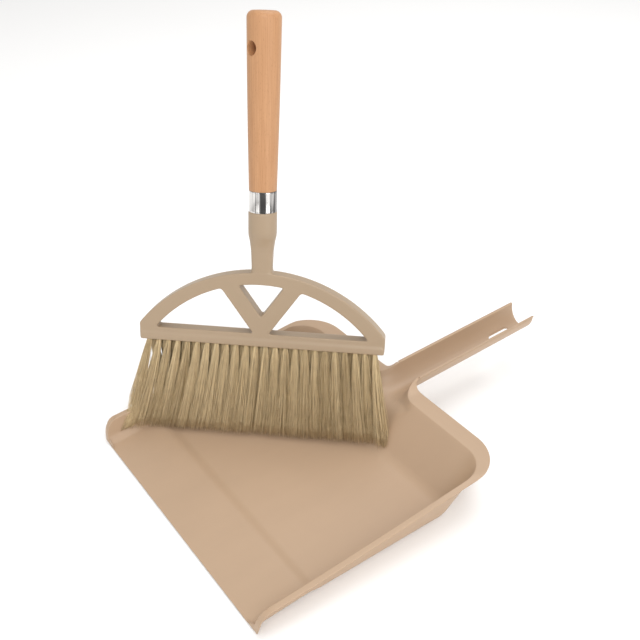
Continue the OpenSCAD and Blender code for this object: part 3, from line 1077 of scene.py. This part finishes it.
def head_neck(s):
    """Neck: flat at the bow, growing round towards the ferrule, with its spigot."""
    top = s.bow + s.neck
    r, foot, flat = s.neck_radius, s.foot, s.frame / 2
    inner = s.ferrule_radius - s.ferrule_wall - SNUG
    rings = [
        (s.bow - s.band * 0.6, foot + 0.0006, flat - 0.0003),
        (s.bow, foot + 0.0006, flat - 0.0003),
        (s.bow + 0.003, foot, flat - 0.0003),
        (s.bow + 0.010, foot + 0.0002, flat - 0.0001),
        (s.bow + 0.016, foot + 0.0005, flat + 0.0002),
        (s.bow + 0.020, foot + 0.0010, flat + 0.0011),
        (s.bow + 0.024, foot + 0.0016, flat + 0.0027),
        (s.bow + 0.0275, r - 0.00025, r - 0.0008),
        (s.bow + 0.031, r, r),
        (top - 0.0008, r, r),
        (top - 0.0002, r - 0.0002, r - 0.0002),
        (top, r - 0.0006, r - 0.0006),
        (top + 0.00001, inner, inner),
        (top + s.ferrule, inner, inner),
        (top + s.ferrule + 0.00001, s.tenon_radius, s.tenon_radius),
        (top + s.ferrule + s.tenon - 0.001, s.tenon_radius, s.tenon_radius),
        (top + s.ferrule + s.tenon, s.tenon_radius - 0.001, s.tenon_radius - 0.001),
    ]
    neck = turned("neck", rings, 64)
    for v in neck.data.vertices:
        t = ease((v.co.z - s.bow - 0.012) / 0.018)
        a = math.atan2(v.co.y / flat, v.co.x / foot)
        square = (abs(math.cos(a)) ** 4 + abs(math.sin(a)) ** 4) ** -0.25
        k = mix(square, 1, t)
        if v.co.z < s.bow + 0.030:
            v.co.x *= k
            v.co.y = max(min(v.co.y * k, mix(flat, 1, t)), -mix(flat, 1, t))
    return neck


def hole_cutter(s, b):
    """One drill for each tuft's hole, all as one mesh."""
    r, depth = b.hole_radius, b.hole_depth
    profile = [(-0.002, r + 0.0002), (0.0002, r), (depth * 0.5, r), (depth, r - 0.0004)]
    drill = lathe("drill", profile, 20)
    drills = []
    for row in range(3):
        for i in range(row_count(b, row)):
            u, y = tuft_root(s, b, row, i)
            copy = drill.copy()
            copy.data = drill.data.copy()
            copy.data.transform(Matrix.Translation((u, y, 0)))
            bpy.context.scene.collection.objects.link(copy)
            drills.append(copy)
    bpy.data.objects.remove(drill)
    return joined("drills", drills)


def build_head(s, b):
    head = head_frame(s)
    combine(head, head_bar(s), "UNION")
    combine(head, head_neck(s), "UNION")
    head.name = "brush_head_moulding"
    modify(head, "REMESH", mode="VOXEL", voxel_size=VOXEL)
    modify(head, "SMOOTH", factor=0.5, iterations=5)
    combine(head, hole_cutter(s, b), "DIFFERENCE")
    place(head, brush_place(s))
    pick(head)
    bpy.ops.object.shade_smooth()
    return head


# ------------------------------------------------------------------ ferrule and handle


def build_ferrule(s):
    """A drawn tube with rolled edges and a shallow bead at each end."""
    r, wall, n = s.ferrule_radius, s.ferrule_wall, s.ferrule
    profile = [(0.0, r - 0.00035), (0.0001, r - 0.0001), (0.00035, r)]
    profile += [(0.0012, r), (0.0016, r - 0.00012)]
    profile += [(n - z, w) for z, w in reversed(profile)]
    tube = lathe("steel_ferrule", profile, 96)
    core = lathe("core", [(-0.001, r - wall), (n + 0.001, r - wall)], 96)
    combine(tube, core, "DIFFERENCE")
    place(tube, brush_place(s) @ Matrix.Translation((0, 0, s.bow + s.neck)))
    smooth(tube, 40)
    return tube


def build_handle(s):
    """The turned handle with its rounded end, tenon bore and hanging hole."""
    n, r, foot, end = s.handle, s.handle_radius, s.handle_foot, s.handle_end
    profile = [(0.0, foot - 0.0004), (0.0001, foot - 0.00012), (0.0004, foot)]
    for k in range(1, 13):
        t = k / 12
        w = mix(foot, r, t) + 0.00025 * math.sin(math.pi * t)
        profile.append((0.0004 + (n - end - 0.0004) * t, w))
    for k in range(1, 11):
        a = math.pi / 2 * k / 10
        w = r - end * (1 - math.cos(a))
        profile.append((n - end * (1 - math.sin(a)) - 0.0002 * k / 10, w))
    for k, w in enumerate((0.0045, 0.0022, 0.0006)):
        profile.append((n - 0.00012 + 0.00004 * k, w))
    handle = lathe("beech_handle", profile, 96)
    bore_r = s.tenon_radius + SNUG
    bore = lathe("bore", [(-0.001, bore_r), (s.tenon + SNUG, bore_r)], 48)
    combine(handle, bore, "DIFFERENCE")
    h = s.hang_radius
    steps = [(-0.014, h + 0.0030), (-0.0118, h + 0.0008), (-0.0110, h + 0.00025), (-0.0100, h)]
    drill = lathe("hang_drill", steps + [(-z, w) for z, w in reversed(steps)], 48)
    place(
        drill,
        Matrix.Translation((0, 0, n - s.hang_end))
        @ Matrix.Rotation(-s.hang_turn, 4, "Z")
        @ Matrix.Rotation(math.pi / 2, 4, "X"),
    )
    combine(handle, drill, "DIFFERENCE")
    place(
        handle,
        brush_place(s) @ Matrix.Translation((0, 0, s.bow + s.neck + s.ferrule)),
    )
    smooth(handle, 28)
    return handle


# ------------------------------------------------------------------ bristles

# Gaps kept by loose strands from the walls and the floor
WALL_CLEAR, FLOOR_CLEAR = 0.0006, 0.0003
# Height above a wall's edge from which strands spread out over it, and their slope
RIM_CLEAR, SPILL = 0.001, 1.1
# Gaps of a tuft's tip from the walls and over the crest; how far strands pass the tip
TIP_CLEAR, TIP_GAP, TIP_REACH = 0.001, 0.0016, 0.0016
# Share of the walls' push that reaches the tips
GIVE = 0.35
# Most that the fillets beside the floor can lift a strand
MOST_LIFT = 0.01
# Depth of the strands' roots in their hole, and the radius of a tuft where it leaves it
ROOT_DEPTH, ROOT_RADIUS = 0.0035, 0.00165
# How quickly a tuft widens, its depth to its width, and the strands' crimp
FLARE, TUFT_DEPTH, CRIMP = 0.62, 0.80, 0.00016
# How far a tuft's bend is drawn from straight down to the line to its tip
BEND = 0.72
# Share of a strand's thickness lost towards its tip
TAPER = 0.55
STRAND_STEPS = 9


def row_count(b, row):
    return b.columns - row % 2


def tuft_root(s, b, row, i):
    pitch = (s.bar - 2 * b.margin) / (b.columns - 1)
    u = -s.bar / 2 + b.margin + pitch * (i + (row % 2) / 2)
    return u, b.row_gap * (row - 1)


def tuft_tip(p, s, b, row, i):
    """Where a stored tuft's tip stands: inside the walls, and eased forward by them."""
    tip_z = p.floor + p.crest + TIP_GAP
    gap = TIP_CLEAR + b.tip_radius
    left = -p.width / 2 + p.wall + gap
    rear = p.depth - p.wall + p.rear_lean * tip_z / p.height - gap - p.lip_to_origin
    splay = b.front - b.tip_gap * row
    free = splay / math.cos(s.lean) + (s.bar_z - tip_z) * math.tan(s.lean)
    full = free + (b.push if row == 0 else 0)
    sin, cos = math.sin(s.turn), math.cos(s.turn)
    first = max(-s.bar / 2 - b.fan_left, (left - s.bar_x - full * sin) / cos)
    last = min(s.bar / 2 + b.fan_right, (rear - s.bar_y + full * cos) / sin)
    u = mix(first, last, i / (row_count(b, row) - 1))
    held = max((left - s.bar_x - u * cos) / sin, (s.bar_y + u * sin - rear) / cos)
    out = free + GIVE * max(held - free, 0)
    return Vector(
        (s.bar_x + u * cos + out * sin, s.bar_y + u * sin - out * cos, tip_z)
    )


def strand_pattern(rng, count):
    """One tuft of strands: where each starts and ends in it, its crimp and tone."""
    rows = []
    for _ in range(count):
        r, a = math.sqrt(rng.random()), rng.random() * 2 * math.pi
        drift = rng.gauss(0, 0.16)
        rows.append(
            (
                r * math.cos(a),
                r * math.sin(a),
                r * math.cos(a + drift) + rng.gauss(0, 0.26),
                r * math.sin(a + drift) + rng.gauss(0, 0.26),
                rng.random() * 2 * math.pi,
                rng.gauss(0, 1),
                rng.gauss(0, 1),
                abs(rng.gauss(0, 0.0016)) + (rng.random() < 0.08) * 0.003,
                rng.random(),
                rng.uniform(0.8, 1.2),
            )
        )
    return np.array(rows)


def surface_under(p, xy):
    """Height of the pan's inside under points, its left and rear fillets included."""
    y = xy[:, 1] + p.lip_to_origin
    ramp_z = p.lip + (p.floor + p.crest - p.lip) * np.clip(y / p.ramp, 0, 1)
    run = np.clip((y - p.ramp) / p.crest_run, 0, 1)
    base = np.where(y < p.ramp, ramp_z, p.floor + p.crest * (1 + np.cos(np.pi * run)) / 2)

    def wall_height(d, lean, soft):
        slope = math.atan2(1, lean)
        reach = soft * math.tan(slope / 2)
        e = np.clip(d + reach, 0, soft * math.sin(slope))
        arc = soft - np.sqrt(np.maximum(soft**2 - e**2, 0))
        return np.where(d > soft * math.sin(slope) - reach, np.maximum(d / lean, arc), arc)

    side = wall_height(
        -xy[:, 0] - p.width / 2 + p.wall + base * p.side_lean / p.height,
        p.side_lean / p.height, p.side_soft,
    )
    rear = wall_height(y - p.depth + p.wall, p.rear_lean / p.height, p.rear_soft)
    return base + np.minimum(np.maximum(side, rear), MOST_LIFT)


def keep_in_pan(p, world):
    """Holds strands inside the left and rear walls and over the floor, in place."""
    z, y = world[:, 2], world[:, 1] + p.lip_to_origin
    full = p.depth + p.rear_lean + p.rim_rear - p.rim_radius
    share = np.minimum(np.maximum(y, 0) / full, 1)
    edge = p.front_height + (p.height - p.front_height) * share**1.3 + RIM_CLEAR
    left = p.width / 2 - p.wall + p.side_lean * np.minimum(z, edge) / p.height - WALL_CLEAR
    world[:, 0] = np.maximum(world[:, 0], -left - SPILL * np.maximum(z - edge, 0))
    rear = p.depth - p.wall + p.rear_lean * np.minimum(z, p.height) / p.height
    rear += SPILL * np.maximum(z - p.height - RIM_CLEAR, 0) - WALL_CLEAR - p.lip_to_origin
    world[:, 1] = np.minimum(world[:, 1], rear)
    ground = surface_under(p, world[:, 0:2]) + FLOOR_CLEAR
    world[:, 2] = np.where(z < edge, np.maximum(z, ground), z)


def tuft_mesh(p, s, b, row, i, pattern, rng):
    """Points, faces and attributes of one tuft."""
    to_set = np.array(brush_place(s))
    u, y = tuft_root(s, b, row, i)
    root = Vector((u, y, 0))
    tip = brush_place(s).inverted() @ tuft_tip(p, s, b, row, i)
    reach = (tip - root).length
    bend = root + Vector((0, 0, -0.5 * reach)).lerp((tip - root) * 0.5, BEND)
    n = len(pattern)
    spin = rng.random() * 2 * math.pi
    turn = np.array([[math.cos(spin), -math.sin(spin)], [math.sin(spin), math.cos(spin)]])
    start, end = pattern[:, 0:2] @ turn.T, pattern[:, 2:4] @ turn.T
    ts = np.concatenate([[0.0], np.linspace(0.0, 1, STRAND_STEPS)])[None, :, None]
    ends = [np.array(v) for v in (root, bend, tip)]
    line = (1 - ts) ** 2 * ends[0] + 2 * ts * (1 - ts) * ends[1] + ts**2 * ends[2]
    line[:, 0, :] = ends[0] + np.array((0, 0, ROOT_DEPTH))
    spread = b.spread * (1.0 + 0.08 * rng.gauss(0, 1))
    width = ROOT_RADIUS + (spread - ROOT_RADIUS) * ts**FLARE
    squash = np.array((1.0, TUFT_DEPTH))
    mixw = ts**0.8
    offset = (start[:, None, :] * (1 - mixw) + end[:, None, :] * mixw) * width * squash
    wave = np.sin(ts * 9 + pattern[:, 4][:, None, None]) * CRIMP * ts
    offset = offset + wave * pattern[:, 5:7][:, None, :]
    centre = np.repeat(line, n, axis=0)
    centre[:, :, 0:2] += offset
    tip_dir = np.array((tip - root).normalized())
    short = pattern[:, 7][:, None, None] - TIP_REACH
    centre -= (ts**2) * short * tip_dir
    flat = centre.reshape(-1, 3)
    world = flat @ to_set[:3, :3].T + to_set[:3, 3]
    keep_in_pan(p, world)
    world = world.reshape(n, STRAND_STEPS + 1, 3)
    along = np.gradient(world, axis=1)
    along[:, 0, :] = world[:, 1, :] - world[:, 0, :]
    along /= np.linalg.norm(along, axis=2, keepdims=True) + 1e-12
    side_a = np.cross(along, np.array((0.3, 0.9, 0.1)))
    side_a /= np.linalg.norm(side_a, axis=2, keepdims=True) + 1e-12
    side_b = np.cross(along, side_a)
    taper = (1 - TAPER * ts**3) * b.thick * pattern[:, 9][:, None, None]
    rings = [
        world + taper * (side_a * math.cos(a) + side_b * math.sin(a))
        for a in (0, 2 * math.pi / 3, 4 * math.pi / 3)
    ]
    points = np.stack(rings, axis=2).reshape(-1, 3)
    tone = np.repeat(pattern[:, 8] + 0.14 * rng.gauss(0, 1), (STRAND_STEPS + 1) * 3)
    progress = np.tile(np.repeat(np.clip(ts[0, :, 0], 0, 1), 3), n)
    return points, tone, progress


def strand_faces(count):
    """Side and end faces of three-sided strands."""
    faces = []
    per = (STRAND_STEPS + 1) * 3
    for k in range(count):
        o = k * per
        faces.append((o + 2, o + 1, o))
        for j in range(STRAND_STEPS):
            for q in range(3):
                a, c = o + 3 * j + q, o + 3 * j + (q + 1) % 3
                faces.append((a, c, c + 3, a + 3))
        e = o + 3 * STRAND_STEPS
        faces.append((e, e + 1, e + 2))
    return faces


def build_column(p, s, b, i, patterns, rng):
    """One column of tufts, front to rear, as one piece of loose strands."""
    points, tones, progress, faces = [], [], [], []
    for row in range(3):
        if i >= row_count(b, row):
            continue
        pts, tone, t = tuft_mesh(p, s, b, row, i, patterns[(i + row) % len(patterns)], rng)
        first = sum(len(x) for x in points)
        faces += [tuple(v + first for v in f) for f in strand_faces(b.strands)]
        points.append(pts)
        tones.append(tone)
        progress.append(t)
    mesh = bpy.data.meshes.new(f"bristles_{i + 1:02d}")
    mesh.from_pydata(np.concatenate(points).tolist(), [], faces)
    for name, values in (("tone", tones), ("along", progress)):
        layer = mesh.attributes.new(name, "FLOAT", "POINT")
        layer.data.foreach_set("value", np.concatenate(values).astype(np.float32))
    mesh.update()
    obj = bpy.data.objects.new(mesh.name, mesh)
    bpy.context.scene.collection.objects.link(obj)
    pick(obj)
    bpy.ops.object.shade_smooth()
    return obj


# ------------------------------------------------------------------ operators


def sizes():
    scene = bpy.context.scene
    return scene.pan_sizes, scene.brush_sizes, scene.bristle_sizes, scene.set_finishes


class PANSET_OT_pan(bpy.types.Operator):
    """Build the moulded dust pan with its rim, ramp and open handle"""

    bl_idname = "panset.pan"
    bl_label = "Dust Pan"

    def execute(self, context):
        pan, _, _, finish = sizes()
        group = bpy.data.node_groups.get("Moulded Plastic Surface") or moulded_effect()
        m = plastic("Pan Plastic", finish.pan, 0.10, 0.44, group)
        finish_piece(build_pan(pan), "dustpan", m, ["pan"])
        return {"FINISHED"}


class PANSET_OT_head(bpy.types.Operator):
    """Build the moulded brush head: bar, bow, ribs, neck and drilled holes"""

    bl_idname = "panset.head"
    bl_label = "Brush Head"

    def execute(self, context):
        _, brush, bristles, finish = sizes()
        group = bpy.data.node_groups.get("Moulded Plastic Surface") or moulded_effect()
        m = plastic("Head Plastic", finish.head, 0.08, 0.40, group)
        finish_piece(build_head(brush, bristles), "brush", m, ["brush_head"])
        return {"FINISHED"}


class PANSET_OT_handle(bpy.types.Operator):
    """Build the steel ferrule and the turned beech handle"""

    bl_idname = "panset.handle"
    bl_label = "Ferrule and Handle"

    def execute(self, context):
        _, brush, _, finish = sizes()
        group = bpy.data.node_groups.get("Fine Streaks") or streak_effect()
        # The ferrule's steel has dark reflection bands painted into its colour.
        ferrule_steel = steel("Ferrule Steel", finish.steel, brush, group, 0.16)
        finish_piece(
            build_ferrule(brush), "brush", ferrule_steel, ["ferrule"]
        )
        wood = beech(finish, brush, group)
        finish_piece(build_handle(brush), "brush", wood, ["wood_handle"])
        return {"FINISHED"}


class PANSET_OT_bristles(bpy.types.Operator):
    """Build every tuft of bristles, and finish the anchor wires that hold them"""

    bl_idname = "panset.bristles"
    bl_label = "Bristles"

    def execute(self, context):
        pan, brush, bristles, finish = sizes()
        rng = random.Random(7)
        patterns = [strand_pattern(rng, bristles.strands) for _ in range(5)]
        m = bristle_finish(finish)
        for i in range(bristles.columns):
            obj = build_column(pan, brush, bristles, i, patterns, rng)
            finish_piece(obj, "brush", m, [f"tufts_{i + 1:02d}"])
        group = bpy.data.node_groups.get("Fine Streaks") or streak_effect()
        # The anchor steel carries the same painted dark reflection bands as the ferrule.
        wire = steel("Anchor Steel", (0.55, 0.54, 0.52), brush, group, 0.3)
        for name in ("front", "middle", "rear"):
            node = frame["nodes"][f"anchor_wires_{name}"]
            node.data.materials.clear()
            node.data.materials.append(wire)
        return {"FINISHED"}


# Camera: place in metres, bearing and height in degrees, lens in millimetres
CAMERA_PLACE = (0.4078, -0.2682, 0.4780)
CAMERA_AZIMUTH, CAMERA_ELEVATION = 54.07, 35.05
CAMERA_LENS = 50.13
# Area lights: name, place, aim, size in metres, power in watts
LIGHTS = (
    ("key", (1.05, -0.5, 1.25), (0, 0.05, 0.05), 0.9, 10),
    ("top", (-0.25, 0.65, 1.6), (0, 0.05, 0.1), 1.2, 12),
    ("side", (1.5, 0.35, 0.55), (0, 0.05, 0.1), 0.9, 5),
    ("fill", (0.1, -1.4, 0.7), (0, 0.05, 0.05), 1.0, 3),
)


def area_light(name, place_at, aim, size, power):
    data = bpy.data.lights.new(name, "AREA")
    data.size, data.energy = size, power
    obj = bpy.data.objects.new(name, data)
    bpy.context.scene.collection.objects.link(obj)
    obj.location = place_at
    obj.rotation_euler = (Vector(aim) - Vector(place_at)).to_track_quat("-Z", "Y").to_euler()


class PANSET_OT_stage(bpy.types.Operator):
    """Set up the pale floor, the soft studio light and the camera"""

    bl_idname = "panset.stage"
    bl_label = "Stage"

    def execute(self, context):
        finish = sizes()[3]
        clear_selection()
        low = CAD_BOX[0].z - 0.0003
        bpy.ops.mesh.primitive_plane_add(size=12, location=(0, 0, low))
        ground = bpy.context.object
        ground.name = "studio_floor"
        place(ground, Matrix.Identity(4))
        ground.data.materials.append(ground_finish(finish))
        world = bpy.data.worlds.new("Studio")
        context.scene.world = world
        world.use_nodes = True
        background = world.node_tree.nodes["Background"]
        background.inputs["Color"].default_value = (1.0, 0.99, 0.975, 1)
        background.inputs["Strength"].default_value = 0.66
        for light in LIGHTS:
            area_light(*light)
        camera = bpy.data.objects.new("camera", bpy.data.cameras.new("camera"))
        context.scene.collection.objects.link(camera)
        azimuth, elevation = math.radians(CAMERA_AZIMUTH), math.radians(CAMERA_ELEVATION)
        camera.location = CAMERA_PLACE
        back = Vector(
            (
                math.sin(azimuth) * math.cos(elevation),
                -math.cos(azimuth) * math.cos(elevation),
                math.sin(elevation),
            )
        )
        camera.rotation_euler = (-back).to_track_quat("-Z", "Y").to_euler()
        camera.data.lens = CAMERA_LENS
        camera.data.sensor_width = 36
        camera.data.clip_start = 0.02
        camera.data.clip_end = 40
        context.scene.camera = camera
        context.scene.view_settings.view_transform = "Standard"
        return {"FINISHED"}


class PANSET_PT_panel(bpy.types.Panel):
    bl_idname = "PANSET_PT_panel"
    bl_label = "Dust Pan and Brush"
    bl_space_type = "VIEW_3D"
    bl_region_type = "UI"
    bl_category = "Dust Pan"

    def draw(self, context):
        for operator in OPERATORS:
            self.layout.operator(operator.bl_idname)
        for name, group in GROUPS.items():
            box = self.layout.box()
            box.label(text=group.__name__)
            for key in group.__annotations__:
                box.prop(getattr(context.scene, name), key)


OPERATORS = (
    PANSET_OT_pan,
    PANSET_OT_head,
    PANSET_OT_handle,
    PANSET_OT_bristles,
    PANSET_OT_stage,
)
CLASSES = (*GROUPS.values(), *OPERATORS, PANSET_PT_panel)


def register():
    for c in CLASSES:
        bpy.utils.register_class(c)
    for name, group in GROUPS.items():
        setattr(bpy.types.Scene, name, PointerProperty(type=group))


def unregister():
    for name in GROUPS:
        delattr(bpy.types.Scene, name)
    for c in reversed(CLASSES):
        bpy.utils.unregister_class(c)


def main():
    register()
    bpy.ops.panset.stage()
    bpy.ops.panset.pan()
    bpy.ops.panset.head()
    bpy.ops.panset.handle()
    bpy.ops.panset.bristles()
    clear_selection()
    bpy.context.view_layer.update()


if __name__ == "__main__":
    main()
